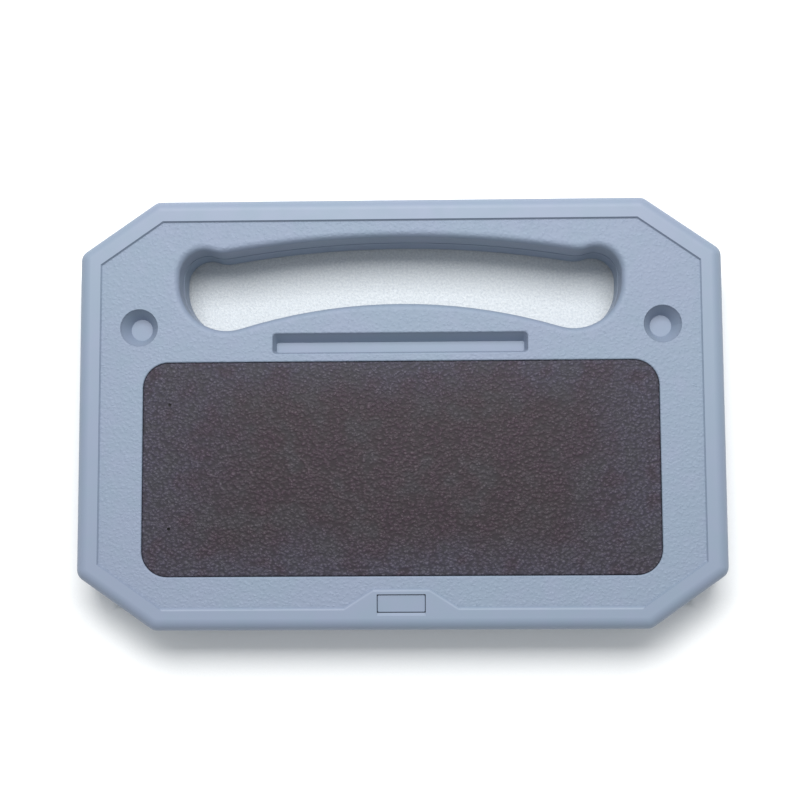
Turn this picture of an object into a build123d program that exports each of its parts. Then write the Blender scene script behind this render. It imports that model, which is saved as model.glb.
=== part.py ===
from build123d import *
import os
from math import atan, cos, degrees, hypot, radians, sin, sqrt, tan

# Craft ink pad in a flat carry case, in millimetres.
# Origin: centre of the footprint, on the surface the case lies on. +X right, +Y towards the
# carry handle, +Z up out of the ink pad. A shallow base is closed by a hinged lid, and the
# lid carries the ink pad in a well in its upper face.

# ---- case outline ----
CASE_WIDTH = 240.0
CASE_DEPTH = 160.4
CASE_HEIGHT = 25.0
CORNER_ALONG_X = 28.7          # how far each cut corner runs along the front or rear
CORNER_ALONG_Y = 20.1          # and along the side
CORNER_ROUND = 4.5
EDGE_ROUND = 4.2
WALL = 2.4

# ---- levels ----
FOOT_HEIGHT = 1.5
BASE_FLOOR = 2.2
BASE_TOP = 12.5
LID_BOTTOM = 12.8
FIELD_TOP = 24.0               # the grained field, sunk below the smooth rim
FIELD_SKIN = 2.2
RIM_WIDTH = 8.0
FIELD_STEP_SLOPE = 0.45
FRONT_STEP_ROUND = 1.2         # the rim's inner edge is softer along the front and round the tab

# ---- carry handle opening (outline in the field, where its wide roundover begins) ----
OPENING_REACH = 85.4           # half length
LOBE_X, LOBE_Y, LOBE_RADIUS = 64.9, 48.8, 20.5
END_RADIUS = 12.0
END_Y = 51.9
GRIP_CROWN_Y = 68.4            # highest point of the edge under the grip bar
GRIP_CROWN_RADIUS = 390.0
GRIP_NOTCH_ROUND = 7.0
DECK_CROWN_Y = 38.0            # highest point of the edge on the pad's side
OPENING_EDGE_ROUND = 2.6
OPENING_DRAFT = 1.5            # the wall's lean from upright, in degrees
BASE_SLEEVE_INSET = 0.15       # the base's half of the opening is a hair smaller
SLEEVE_WALL = 2.0
SLEEVE_LIP = 0.18              # rise of the base's sleeve towards the lid's
BASE_OPENING_ROUND = 1.6

# ---- ink pad and its well ----
PAD_LENGTH, PAD_WIDTH, PAD_ROUND = 191.0, 78.8, 9.3
PAD_Y = -20.9
PAD_TOP = 23.8
PAD_GAP = 0.3
WELL_FLOOR = 16.2
WELL_WALL = 1.6
WELL_LIP_ROUND = 0.6
SKIN_THICK = 0.8
SKIN_SIDE = 3.0
TRAY_WALL = 1.5
TRAY_FLOOR = 1.4

# ---- tool slot and two cap rests ----
SLOT_LENGTH, SLOT_WIDTH, SLOT_Y = 95.0, 7.8, 25.7
SLOT_FLOOR = 18.8
SLOT_ROUND = 1.4
SLOT_LEAN, SLOT_BACK_LEAN = 1.1, 3.0      # how far its walls, and its rear wall, lean in
REST_X, REST_Y = 97.5, 32.0
REST_FLOOR = 17.6
REST_TOP_RADIUS, REST_FLOOR_RADIUS = 7.1, 4.0
POCKET_WALL = 1.5

# ---- rear hinge ----
HINGE_INSET = 3.2              # axis in from the rear face
HINGE_Z = (BASE_TOP + LID_BOTTOM) / 2
HINGE_Y = CASE_DEPTH / 2 - HINGE_INSET
GROOVE_HALF_ANGLE = 52.0
BARREL_RADIUS = 2.9
BARREL_CLEARANCE = 3.25
BARREL_LENGTH = 9.0
BARREL_GAP = 0.3
HINGE_X = 60.0
PIN_RADIUS = 1.0
PIN_BORE = 1.05
RAIL_LENGTH = 192.0
RAIL_IN, RAIL_TALL = 5.2, 6.0

# ---- front latch ----
TAB_HALF_FOOT, TAB_HALF_HEAD = 21.9, 10.5
TAB_HEAD_Y = -65.0
BUTTON_LENGTH, BUTTON_WIDTH, BUTTON_Y = 17.5, 6.3, -70.5
BUTTON_TOP = 24.4
BUTTON_GAP = 0.2
BUTTON_RAMP = 1.1              # sloped front edge of the button's recess
BUTTON_FLANGE_Z = 20.3
BUTTON_FLANGE_THICK = 1.2
BUTTON_FLANGE_LENGTH, BUTTON_FLANGE_WIDTH = 27.0, 8.6
BUTTON_TRAVEL = 1.5
STEM_BOTTOM = 17.6
PIVOT_Y, PIVOT_Z = -66.0, 16.4
BRACKET_TOP, BRACKET_THICK = 15.0, 1.4
BRACKET_HALF_LENGTH = 22.0
BRACKET_FRONT, BRACKET_REAR = -76.4, -63.0
BRACKET_SCREW_X, BRACKET_SCREW_Y = 18.3, -71.0
SPRING_X, SPRING_RADIUS, SPRING_WIRE = 11.6, 1.7, 0.25
HOOK_HALF_WIDTH = 4.5
CATCH_SCREW_X, CATCH_SCREW_Y = 10.0, -73.2

# ---- liner, feet and screws ----
LINER_BOTTOM, LINER_TOP = 12.95, 14.4
LINER_GAP = 0.4
LINER_NOTCH_HALF = 25.0
LINER_NOTCH_Y = -61.6
BOSS_RADIUS = 3.0
LINER_SCREWS = [(-108, -50), (108, -50), (-108, 6), (108, 6), (-104, 50), (104, 50), (-48, -70), (48, -70)]
SCREW_RADIUS, SCREW_HEAD_RADIUS, SCREW_LENGTH = 1.0, 2.0, 6.0
FOOT_RADIUS = 6.0
FOOT_SPOTS = {"front_left": (-97, -52), "front_right": (97, -52),
              "rear_left": (-97, 52), "rear_right": (97, 52)}

FRONT_Y, REAR_Y = -CASE_DEPTH / 2, CASE_DEPTH / 2
BESIDE_CORNER = CASE_WIDTH / 2 - CORNER_ALONG_X


def box(x0, x1, y0, y1, z0, z1):
    return Pos((x0 + x1) / 2, (y0 + y1) / 2, (z0 + z1) / 2) * Box(x1 - x0, y1 - y0, z1 - z0)


def upright(x, y, z0, z1, radius):
    return Pos(x, y, (z0 + z1) / 2) * Cylinder(radius, z1 - z0)


def along_x(x0, x1, y, z, radius):
    return Pos((x0 + x1) / 2, y, z) * Rot(0, 90, 0) * Cylinder(radius, x1 - x0)


def slab(face, z0, z1):
    return extrude(Pos(0, 0, z0) * face, z1 - z0)


def prism(points, half_length):
    """Solid with a section of (y, z) points, running along X to both sides of the middle."""
    return extrude(Plane.YZ * make_face(Polyline(*points, close=True)), half_length, both=True)


def octagon(inset=0.0):
    """The case outline with every side moved inwards by the inset."""
    half_x, half_y = CASE_WIDTH / 2, CASE_DEPTH / 2
    cut = hypot(CORNER_ALONG_X, CORNER_ALONG_Y)
    shift = CORNER_ALONG_X + CORNER_ALONG_Y - cut
    along_x_cut = CORNER_ALONG_X - inset * shift / CORNER_ALONG_Y
    along_y_cut = CORNER_ALONG_Y - inset * shift / CORNER_ALONG_X
    x, y = half_x - inset, half_y - inset
    points = [(x - along_x_cut, y), (x, y - along_y_cut), (x, along_y_cut - y), (x - along_x_cut, -y)]
    points += [(-px, py) for px, py in reversed(points)]
    return make_face(Polyline(*points, close=True))


def rounded_rectangle(length, width, y, radius):
    return Pos(0, y) * RectangleRounded(length, width, radius)


def opening_outline(inset=0.0):
    """Dog-bone outline of the hand opening, from tangent arcs mirrored about X = 0."""
    grip_centre = Vector(0, GRIP_CROWN_Y - GRIP_CROWN_RADIUS)
    rise = LOBE_Y - DECK_CROWN_Y
    deck_radius = (LOBE_X**2 + rise**2 - LOBE_RADIUS**2) / (2 * (LOBE_RADIUS - rise))
    deck_centre = Vector(0, DECK_CROWN_Y - deck_radius)
    lobe_centre = Vector(LOBE_X, LOBE_Y)
    end_centre = Vector(OPENING_REACH - END_RADIUS, END_Y)

    gap = end_centre - grip_centre
    along = (GRIP_CROWN_RADIUS**2 - END_RADIUS**2 + gap.length**2) / (2 * gap.length)
    aside = sqrt(GRIP_CROWN_RADIUS**2 - along**2)
    unit = gap.normalized()
    notch = grip_centre + unit * along + Vector(-unit.Y, unit.X) * aside

    deck_end = deck_centre + (lobe_centre - deck_centre).normalized() * deck_radius
    crown = Vector(0, GRIP_CROWN_Y)

    def arc(start, end, centre, radius, side=1):
        middle = ((start + end) * 0.5 - centre).normalized() * (radius * side) + centre
        return ThreePointArc(start, middle, end)

    half = [
        arc(Vector(0, DECK_CROWN_Y), deck_end, deck_centre, deck_radius),
        ThreePointArc(deck_end, lobe_centre + Vector(sin(radians(50)), -cos(radians(50))) * LOBE_RADIUS,
                      Vector(OPENING_REACH, LOBE_Y)),
        Line(Vector(OPENING_REACH, LOBE_Y), Vector(OPENING_REACH, END_Y)),
        ThreePointArc(Vector(OPENING_REACH, END_Y),
                      end_centre + Vector(cos(radians(50)), sin(radians(50))) * END_RADIUS, notch),
        arc(notch, crown, grip_centre, GRIP_CROWN_RADIUS),
    ]
    edges = half + [mirror(edge, Plane.YZ) for edge in half]
    outline = make_face(edges)
    notches = [v for v in outline.vertices() if abs(abs(v.X) - notch.X) < 0.01 and v.Y > END_Y]
    outline = fillet(notches, GRIP_NOTCH_ROUND)
    return offset(outline, -inset, kind=Kind.ARC) if inset else outline


def wall_inset(z, inset=0.0):
    """How far in from the opening's outline its leaning wall stands at the height z."""
    roundover = OPENING_EDGE_ROUND * tan(radians(45 - OPENING_DRAFT / 2))
    return roundover + inset + (FIELD_TOP - z) * tan(radians(OPENING_DRAFT))


def opening_core(z0, z1, wall=0.0, inset=0.0):
    """The space inside the opening's leaning wall, or with the wall's own thickness added."""
    outline = opening_outline(wall_inset(z0, inset))
    if wall:
        outline = offset(outline, wall, kind=Kind.ARC)
    return extrude(Pos(0, 0, z0) * outline, z1 - z0, taper=-OPENING_DRAFT)


def outer_shell(z0, z1, rounded_top):
    """Solid block of one half of the case, its outer edge rounded at the top or the bottom."""
    block = slab(octagon(), z0, z1)
    block = fillet(block.edges().filter_by(Axis.Z), CORNER_ROUND)
    rim = block.faces().sort_by(Axis.Z)[-1 if rounded_top else 0]
    return fillet(rim.edges(), EDGE_ROUND)


def hinge_groove():
    """Wedge cleared along the rear parting edge, with its point on the hinge axis."""
    reach = HINGE_INSET + 1.0
    rise = reach * tan(radians(GROOVE_HALF_ANGLE))
    return prism([(HINGE_Y, HINGE_Z), (HINGE_Y + reach, HINGE_Z - rise), (HINGE_Y + reach, HINGE_Z + rise)],
                 CASE_WIDTH / 2 + 1)


def barrel_spans(side):
    """X ranges of the three barrels of one hinge: base, lid, base."""
    pitch = BARREL_LENGTH + BARREL_GAP
    middles = [side * HINGE_X + step * pitch for step in (-1, 0, 1)]
    return [(middle - BARREL_LENGTH / 2, middle + BARREL_LENGTH / 2) for middle in middles]


def with_hinge_barrels(block, kept):
    """One half of the case with its groove, its own barrels, and room for the other half's."""
    block -= hinge_groove()
    for side in (-1, 1):
        spans = barrel_spans(side)
        for place, (x0, x1) in enumerate(spans):
            if place not in kept:
                block -= along_x(x0 - BARREL_GAP, x1 + BARREL_GAP, HINGE_Y, HINGE_Z, BARREL_CLEARANCE)
        for place in kept:
            block += along_x(*spans[place], HINGE_Y, HINGE_Z, BARREL_RADIUS)
        block -= along_x(spans[0][0] - 1, spans[2][1] + 1, HINGE_Y, HINGE_Z, PIN_BORE)
    return block


def level_edges(block, z):
    """Edges that lie flat at the height z."""
    return [e for e in block.edges() if abs(e.center().Z - z) < 0.01 and e.bounding_box().size.Z < 0.01]


def edges_round(block, outline, z):
    """The level edges of a block that follow an outline."""
    sides = outline.edges()

    def off_outline(edge):
        middle = edge @ 0.5
        return min(side.distance_to(Vertex(middle.X, middle.Y, 0)) for side in sides)

    return [e for e in level_edges(block, z) if off_outline(e) < 0.2]


def lid_shell():
    block = outer_shell(LID_BOTTOM, CASE_HEIGHT, rounded_top=True)

    # smooth rim with a tab around the button, grained field one step lower
    tab = make_face(Polyline((-TAB_HALF_FOOT - 2, FRONT_Y), (-TAB_HALF_FOOT, FRONT_Y + RIM_WIDTH),
                             (-TAB_HALF_HEAD, TAB_HEAD_Y), (TAB_HALF_HEAD, TAB_HEAD_Y),
                             (TAB_HALF_FOOT, FRONT_Y + RIM_WIDTH), (TAB_HALF_FOOT + 2, FRONT_Y), close=True))
    field = octagon(RIM_WIDTH + FIELD_STEP_SLOPE) - tab
    slope = degrees(atan(FIELD_STEP_SLOPE / (CASE_HEIGHT - FIELD_TOP)))
    block -= extrude(Pos(0, 0, FIELD_TOP) * field.face(), CASE_HEIGHT - FIELD_TOP + 0.001, taper=-slope)

    # hollow underside, leaving walls round everything that opens upwards
    hollow = slab(octagon(WALL), LID_BOTTOM - 1, FIELD_TOP - FIELD_SKIN)
    hollow -= opening_core(LID_BOTTOM - 1, FIELD_TOP, wall=SLEEVE_WALL)
    well_margin = 2 * (PAD_GAP + WELL_WALL)
    hollow -= slab(rounded_rectangle(PAD_LENGTH + well_margin, PAD_WIDTH + well_margin, PAD_Y,
                                     PAD_ROUND + well_margin / 2), WELL_FLOOR - WELL_WALL, FIELD_TOP)
    hollow -= slab(rounded_rectangle(SLOT_LENGTH + 2 * POCKET_WALL, SLOT_WIDTH + 2 * POCKET_WALL, SLOT_Y,
                                     SLOT_ROUND + POCKET_WALL), SLOT_FLOOR - POCKET_WALL, FIELD_TOP)
    for side in (-1, 1):
        hollow -= Pos(side * REST_X, REST_Y, (REST_FLOOR - POCKET_WALL + FIELD_TOP) / 2) * Cone(
            REST_FLOOR_RADIUS + 1.2, REST_TOP_RADIUS + 1.8, FIELD_TOP - REST_FLOOR + POCKET_WALL)
        hollow -= upright(side * BRACKET_SCREW_X, BRACKET_SCREW_Y, BRACKET_TOP, FIELD_TOP, BOSS_RADIUS)
    for x, y in LINER_SCREWS:
        hollow -= upright(x, y, LINER_TOP, FIELD_TOP, BOSS_RADIUS)
    hollow -= box(-RAIL_LENGTH / 2, RAIL_LENGTH / 2, HINGE_Y - RAIL_IN, REAR_Y, LID_BOTTOM - 1,
                  LID_BOTTOM + RAIL_TALL)
    block -= hollow

    # hand opening, well, slot, cap rests and button hole
    block -= opening_core(LID_BOTTOM - 1, CASE_HEIGHT)
    block -= slab(rounded_rectangle(PAD_LENGTH + 2 * PAD_GAP, PAD_WIDTH + 2 * PAD_GAP, PAD_Y,
                                    PAD_ROUND + PAD_GAP), WELL_FLOOR, CASE_HEIGHT)
    block -= tool_slot()
    for side in (-1, 1):
        block -= Pos(side * REST_X, REST_Y, (REST_FLOOR + FIELD_TOP) / 2) * Cone(
            REST_FLOOR_RADIUS, REST_TOP_RADIUS, FIELD_TOP - REST_FLOOR)
        block -= upright(side * BRACKET_SCREW_X, BRACKET_SCREW_Y, BRACKET_TOP - 1, BRACKET_TOP + 5,
                         SCREW_RADIUS)
    block -= box(-BUTTON_LENGTH / 2 - BUTTON_GAP, BUTTON_LENGTH / 2 + BUTTON_GAP,
                 BUTTON_Y - BUTTON_WIDTH / 2 - BUTTON_GAP, BUTTON_Y + BUTTON_WIDTH / 2 + BUTTON_GAP,
                 FIELD_TOP - FIELD_SKIN - 1, CASE_HEIGHT + 1)
    hole_front = BUTTON_Y - BUTTON_WIDTH / 2 - BUTTON_GAP
    block -= prism([(hole_front, BUTTON_TOP), (hole_front, CASE_HEIGHT + 0.01),
                    (hole_front - BUTTON_RAMP, CASE_HEIGHT + 0.01)], BUTTON_LENGTH / 2 + BUTTON_GAP)
    for x, y in LINER_SCREWS:
        block -= upright(x, y, LINER_TOP - 1, LINER_TOP + 5, SCREW_RADIUS)

    # hinge
    block = with_hinge_barrels(block, kept=(1,))

    # rounded edges of the openings in the field, and of the rim's step at the front
    block = fillet(edges_round(block, opening_outline(wall_inset(FIELD_TOP)), FIELD_TOP), OPENING_EDGE_ROUND)
    step = edges_round(block, offset(field.face(), FIELD_STEP_SLOPE), CASE_HEIGHT)
    front_step = [e for e in step if (e @ 0.5).Y < TAB_HEAD_Y + 1 and abs((e @ 0.5).X) < BESIDE_CORNER]
    block = fillet(front_step, FRONT_STEP_ROUND)
    return fillet([e for e in level_edges(block, FIELD_TOP) if on_pad_lip(e)], WELL_LIP_ROUND)


def tool_slot():
    """Shallow trough whose walls lean in, the rear one the most."""
    floor = rounded_rectangle(SLOT_LENGTH - 2 * SLOT_LEAN, SLOT_WIDTH - SLOT_LEAN - SLOT_BACK_LEAN,
                              SLOT_Y - (SLOT_BACK_LEAN - SLOT_LEAN) / 2, SLOT_ROUND / 2)
    mouth = rounded_rectangle(SLOT_LENGTH, SLOT_WIDTH, SLOT_Y, SLOT_ROUND)
    return loft([Pos(0, 0, SLOT_FLOOR) * floor, Pos(0, 0, FIELD_TOP) * mouth], ruled=True)


def on_pad_lip(edge):
    """True for the edges where the pad's well or the slot breaks through the field."""
    middle = edge @ 0.5
    half_x, half_y = PAD_LENGTH / 2 + PAD_GAP, PAD_WIDTH / 2 + PAD_GAP
    in_well = abs(middle.X) < half_x + 0.05 and abs(middle.Y - PAD_Y) < half_y + 0.05
    in_slot = abs(middle.X) < SLOT_LENGTH / 2 + 0.05 and abs(middle.Y - SLOT_Y) < SLOT_WIDTH / 2 + 0.05
    return in_well or in_slot


def base_shell():
    block = outer_shell(FOOT_HEIGHT, BASE_TOP, rounded_top=False)
    floor_top = FOOT_HEIGHT + BASE_FLOOR
    hollow = slab(octagon(WALL), floor_top, BASE_TOP + 1)
    hollow -= opening_core(floor_top, BASE_TOP + 1, wall=SLEEVE_WALL, inset=BASE_SLEEVE_INSET)
    hollow -= box(-RAIL_LENGTH / 2, RAIL_LENGTH / 2, HINGE_Y - RAIL_IN, REAR_Y, BASE_TOP - RAIL_TALL,
                  BASE_TOP + 1)
    for side in (-1, 1):
        hollow -= upright(side * CATCH_SCREW_X, CATCH_SCREW_Y, floor_top, floor_top + 3, 2.6)
    block -= hollow
    block += opening_core(BASE_TOP - 1, BASE_TOP + SLEEVE_LIP, wall=SLEEVE_WALL, inset=BASE_SLEEVE_INSET)
    block -= opening_core(FOOT_HEIGHT, BASE_TOP + 1, inset=BASE_SLEEVE_INSET)
    for side in (-1, 1):
        block -= upright(side * CATCH_SCREW_X, CATCH_SCREW_Y, floor_top - 1, floor_top + 4, SCREW_RADIUS)
    for x, y in FOOT_SPOTS.values():
        block -= upright(x, y, 0, floor_top + 1, 1.65)
    block = with_hinge_barrels(block, kept=(0, 2))
    foot_outline = opening_outline(wall_inset(FOOT_HEIGHT, BASE_SLEEVE_INSET))
    return fillet(edges_round(block, foot_outline, FOOT_HEIGHT), BASE_OPENING_ROUND)


def turned(profile_points, x, y):
    """Solid of revolution about a vertical line, from (radius, height) points."""
    profile = make_face(Polyline(*[(r, 0, z) for r, z in profile_points], close=True))
    return Pos(x, y, 0) * revolve(profile, Axis.Z)


def foot(x, y):
    floor_top = FOOT_HEIGHT + BASE_FLOOR
    return turned([(0, 0), (FOOT_RADIUS - 0.6, 0), (FOOT_RADIUS, 0.5), (FOOT_RADIUS, FOOT_HEIGHT),
                   (1.6, FOOT_HEIGHT), (1.6, floor_top), (2.3, floor_top), (1.3, floor_top + 1.6),
                   (0, floor_top + 1.6)], x, y)


def countersunk_screw(x, y, head_z):
    """Screw driven upwards, with a conical head flush at head_z and a cross recess."""
    tip_z = head_z + SCREW_LENGTH
    body = turned([(0, head_z), (SCREW_HEAD_RADIUS, head_z), (SCREW_RADIUS, head_z + 1.0),
                   (SCREW_RADIUS, tip_z - 1), (0.3, tip_z), (0, tip_z)], x, y)
    for length, width in ((2.2, 0.5), (0.5, 2.2)):
        body -= Pos(x, y, head_z + 0.3) * Box(length, width, 0.6)
    return body


def pan_screw(x, y, seat_z, down):
    """Screw with a domed head on seat_z, driven downwards or upwards."""
    sign = -1 if down else 1
    head = 1.1
    shank = SCREW_LENGTH - 1.0
    points = [(0, -sign * head), (1.2, -sign * head), (1.9, -sign * head * 0.45), (1.9, 0), (SCREW_RADIUS, 0),
              (SCREW_RADIUS, sign * (shank - 0.8)), (0.3, sign * shank), (0, sign * shank)]
    body = turned([(r, seat_z + z) for r, z in points], x, y)
    for length, width in ((2.0, 0.45), (0.45, 2.0)):
        body -= Pos(x, y, seat_z - sign * (head - 0.25)) * Box(length, width, 0.5)
    return body


def lid_liner():
    plate = slab(octagon(WALL + LINER_GAP), LINER_BOTTOM, LINER_TOP)
    below, above = LINER_BOTTOM - 1, LINER_TOP + 1
    plate -= opening_core(below, above, wall=SLEEVE_WALL + LINER_GAP)
    plate -= box(-LINER_NOTCH_HALF, LINER_NOTCH_HALF, FRONT_Y, LINER_NOTCH_Y, below, above)
    plate -= box(-CASE_WIDTH, CASE_WIDTH, HINGE_Y - RAIL_IN - LINER_GAP, REAR_Y, below, above)
    for x, y in LINER_SCREWS:
        plate -= turned([(0, LINER_BOTTOM - 0.1), (SCREW_HEAD_RADIUS + 0.15, LINER_BOTTOM - 0.1),
                         (SCREW_RADIUS + 0.1, LINER_BOTTOM + 1.0), (SCREW_RADIUS + 0.1, LINER_TOP + 1),
                         (0, LINER_TOP + 1)], x, y)
    return plate


def latch_button():
    cap = box(-BUTTON_LENGTH / 2, BUTTON_LENGTH / 2, BUTTON_Y - BUTTON_WIDTH / 2, BUTTON_Y + BUTTON_WIDTH / 2,
              BUTTON_FLANGE_Z, BUTTON_TOP)
    cap = fillet(cap.edges().filter_by(Axis.Z), 0.6)
    cap = fillet(cap.faces().sort_by(Axis.Z)[-1].edges(), 0.35)
    flange = box(-BUTTON_FLANGE_LENGTH / 2, BUTTON_FLANGE_LENGTH / 2, BUTTON_Y - BUTTON_FLANGE_WIDTH / 2,
                 BUTTON_Y + BUTTON_FLANGE_WIDTH / 2, BUTTON_FLANGE_Z, BUTTON_FLANGE_Z + BUTTON_FLANGE_THICK)
    stem = box(-4, 4, BUTTON_Y - 1.1, BUTTON_Y + 0.1, STEM_BOTTOM, BUTTON_FLANGE_Z)
    return cap + flange + stem


def coil_spring(x, y, z0, z1, radius, wire, turns):
    """Round-wire spring with its end turns resting on z0 and z1."""
    height = z1 - z0 - 2 * wire
    path = Helix(pitch=height / turns, height=height, radius=radius)
    section = Plane(origin=path @ 0, z_dir=path % 0) * Circle(wire)
    return Pos(x, y, z0 + wire) * sweep(section, path, is_frenet=True)


def latch_bracket():
    plate = box(-BRACKET_HALF_LENGTH, BRACKET_HALF_LENGTH, BRACKET_FRONT, BRACKET_REAR,
                BRACKET_TOP - BRACKET_THICK, BRACKET_TOP)
    plate = fillet(plate.edges().filter_by(Axis.Z), 2.0)
    plate -= box(-HOOK_HALF_WIDTH - 0.8, HOOK_HALF_WIDTH + 0.8, -75.2, PIVOT_Y + 1.9, BRACKET_TOP - 3,
                 BRACKET_TOP + 1)
    for side in (-1, 1):
        ear = box(7.2, 8.8, PIVOT_Y - 2.0, BRACKET_REAR, BRACKET_TOP - BRACKET_THICK, PIVOT_Z + 1.6)
        ear = fillet(ear.edges().filter_by(Axis.X).sort_by(Axis.Z)[-2:], 1.0)
        plate += ear if side > 0 else mirror(ear, Plane.YZ)
        plate -= upright(side * BRACKET_SCREW_X, BRACKET_SCREW_Y, BRACKET_TOP - 3, BRACKET_TOP + 1, 1.1)
    return plate - along_x(-12, 12, PIVOT_Y, PIVOT_Z, 0.8)


def latch_hook():
    """Rocker that the button's stem tips: an arm, and a blade with a nose towards the front."""
    body = prism([
        (PIVOT_Y, PIVOT_Z + 0.9), (PIVOT_Y, PIVOT_Z - 1.5), (PIVOT_Y - 1.4, PIVOT_Z - 0.7),
        (PIVOT_Y - 5.2, PIVOT_Z - 0.7), (PIVOT_Y - 5.2, 8.6), (PIVOT_Y - 7.2, 8.6), (PIVOT_Y - 8.3, 9.6),
        (PIVOT_Y - 8.3, 10.4), (PIVOT_Y - 6.8, 10.4), (PIVOT_Y - 6.8, PIVOT_Z + 0.9)], HOOK_HALF_WIDTH)
    body += along_x(-HOOK_HALF_WIDTH, HOOK_HALF_WIDTH, PIVOT_Y, PIVOT_Z, 1.6)
    return body - along_x(-12, 12, PIVOT_Y, PIVOT_Z, 0.85)


def hook_pin():
    return along_x(-9.4, 9.4, PIVOT_Y, PIVOT_Z, 0.8)


def hook_spring():
    """Torsion spring round the pivot pin, between the rocker and one ear."""
    wire, radius = 0.2, 1.15
    path = Helix(pitch=0.45, height=1.35, radius=radius)
    section = Plane(origin=path @ 0, z_dir=path % 0) * Circle(wire)
    coil = sweep(section, path, is_frenet=True)
    return Pos(HOOK_HALF_WIDTH + 0.5, PIVOT_Y, PIVOT_Z) * Rot(0, 90, 0) * coil


def front_catch():
    floor_top = FOOT_HEIGHT + BASE_FLOOR
    foot_z = floor_top + 3
    bar = box(-12.5, 12.5, -77.5, -74.6, 10.8, 12.2)
    for side in (-1, 1):
        low, high = sorted((side * 6.6, side * 8.0))
        bar += box(low, high, -77.5, -74.6, foot_z, 12.2)
        low, high = sorted((side * 6.6, side * 12.5))
        bar += box(low, high, -77.5, -70.6, foot_z, foot_z + 1.2)
        bar -= upright(side * CATCH_SCREW_X, CATCH_SCREW_Y, foot_z - 1, foot_z + 2, 1.1)
    return bar


def pad_tray():
    length = PAD_LENGTH - 2 * SKIN_THICK
    width = PAD_WIDTH - 2 * SKIN_THICK
    outside = rounded_rectangle(length, width, PAD_Y, PAD_ROUND - SKIN_THICK)
    inside = rounded_rectangle(length - 2 * TRAY_WALL, width - 2 * TRAY_WALL, PAD_Y,
                               PAD_ROUND - SKIN_THICK - TRAY_WALL)
    bottom = WELL_FLOOR + PAD_GAP
    top = PAD_TOP - SKIN_THICK - 0.6
    tray = slab(outside, bottom, top) - slab(inside, bottom + TRAY_FLOOR, top + 1)
    shelf = rounded_rectangle(PAD_LENGTH, PAD_WIDTH, PAD_Y, PAD_ROUND) - outside
    return tray + slab(shelf, bottom, PAD_TOP - SKIN_SIDE - SKIN_THICK)


def ink_felt():
    margin = 2 * (SKIN_THICK + TRAY_WALL + 0.1)
    block = rounded_rectangle(PAD_LENGTH - margin, PAD_WIDTH - margin, PAD_Y, PAD_ROUND - margin / 2)
    return slab(block, WELL_FLOOR + PAD_GAP + TRAY_FLOOR, PAD_TOP - SKIN_THICK)


def pad_skin():
    outside = rounded_rectangle(PAD_LENGTH, PAD_WIDTH, PAD_Y, PAD_ROUND)
    inside = rounded_rectangle(PAD_LENGTH - 2 * SKIN_THICK, PAD_WIDTH - 2 * SKIN_THICK, PAD_Y,
                               PAD_ROUND - SKIN_THICK)
    low = PAD_TOP - SKIN_THICK - SKIN_SIDE
    skin = slab(outside, low, PAD_TOP) - slab(inside, low - 1, PAD_TOP - SKIN_THICK)
    top_edges = skin.faces().sort_by(Axis.Z)[-1].edges()
    return fillet(top_edges, 0.5)


def build_parts():
    """Every node name with its solid or group of solids."""
    parts = {
        "base_shell": base_shell(),
        "front_catch": front_catch(),
        "lid_shell": lid_shell(),
        "lid_liner": lid_liner(),
        "latch_bracket": latch_bracket(),
        "latch_hook": latch_hook(),
        "hook_pin": hook_pin(),
        "hook_spring": hook_spring(),
        "latch_button": latch_button(),
        "pad_tray": pad_tray(),
        "ink_felt": ink_felt(),
        "pad_skin": pad_skin(),
    }
    for name, (x, y) in FOOT_SPOTS.items():
        parts["foot_" + name] = foot(x, y)
    for name, side in (("left", -1), ("right", 1)):
        spans = barrel_spans(side)
        parts["hinge_pin_" + name] = along_x(spans[0][0] + 0.5, spans[2][1] - 0.5, HINGE_Y, HINGE_Z,
                                             PIN_RADIUS)
        parts["button_spring_" + name] = coil_spring(side * SPRING_X, BUTTON_Y, BRACKET_TOP, BUTTON_FLANGE_Z,
                                                     SPRING_RADIUS, SPRING_WIRE, 5)
    foot_z = FOOT_HEIGHT + BASE_FLOOR + 3
    seat_z = BRACKET_TOP - BRACKET_THICK
    parts["catch_screws"] = Compound(children=[
        pan_screw(side * CATCH_SCREW_X, CATCH_SCREW_Y, foot_z + 1.2, down=True) for side in (-1, 1)])
    parts["latch_screws"] = Compound(children=[
        pan_screw(side * BRACKET_SCREW_X, BRACKET_SCREW_Y, seat_z, down=False) for side in (-1, 1)])
    parts["liner_screws"] = Compound(children=[
        countersunk_screw(x, y, LINER_BOTTOM) for x, y in LINER_SCREWS])
    return parts


os.makedirs("parts", exist_ok=True)
for node, shape in build_parts().items():
    export_step(shape, "parts/" + node + ".step")
    print(node, round(shape.volume, 1))
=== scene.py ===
# %% [markdown]
# # An ink pad in a flat carry case
#
# This lesson dresses a finished assembly of an ink pad: a flat eight-sided case with a hand
# opening, a hinged lid, a push button, and a leather-grained pad that lifts out of its well.
# The assembly fixes every size and every joint. Here its surfaces get their finish, and its
# soft and small pieces (pad, felt, screws, springs, feet) are modelled in full.
#
# Lengths are in metres, as Blender counts them. Patterns are easier to think about in
# millimetres, so every material first turns its position into millimetres.

# %% Load the assembly
from math import cos, hypot, pi, radians, sin, sqrt

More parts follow.
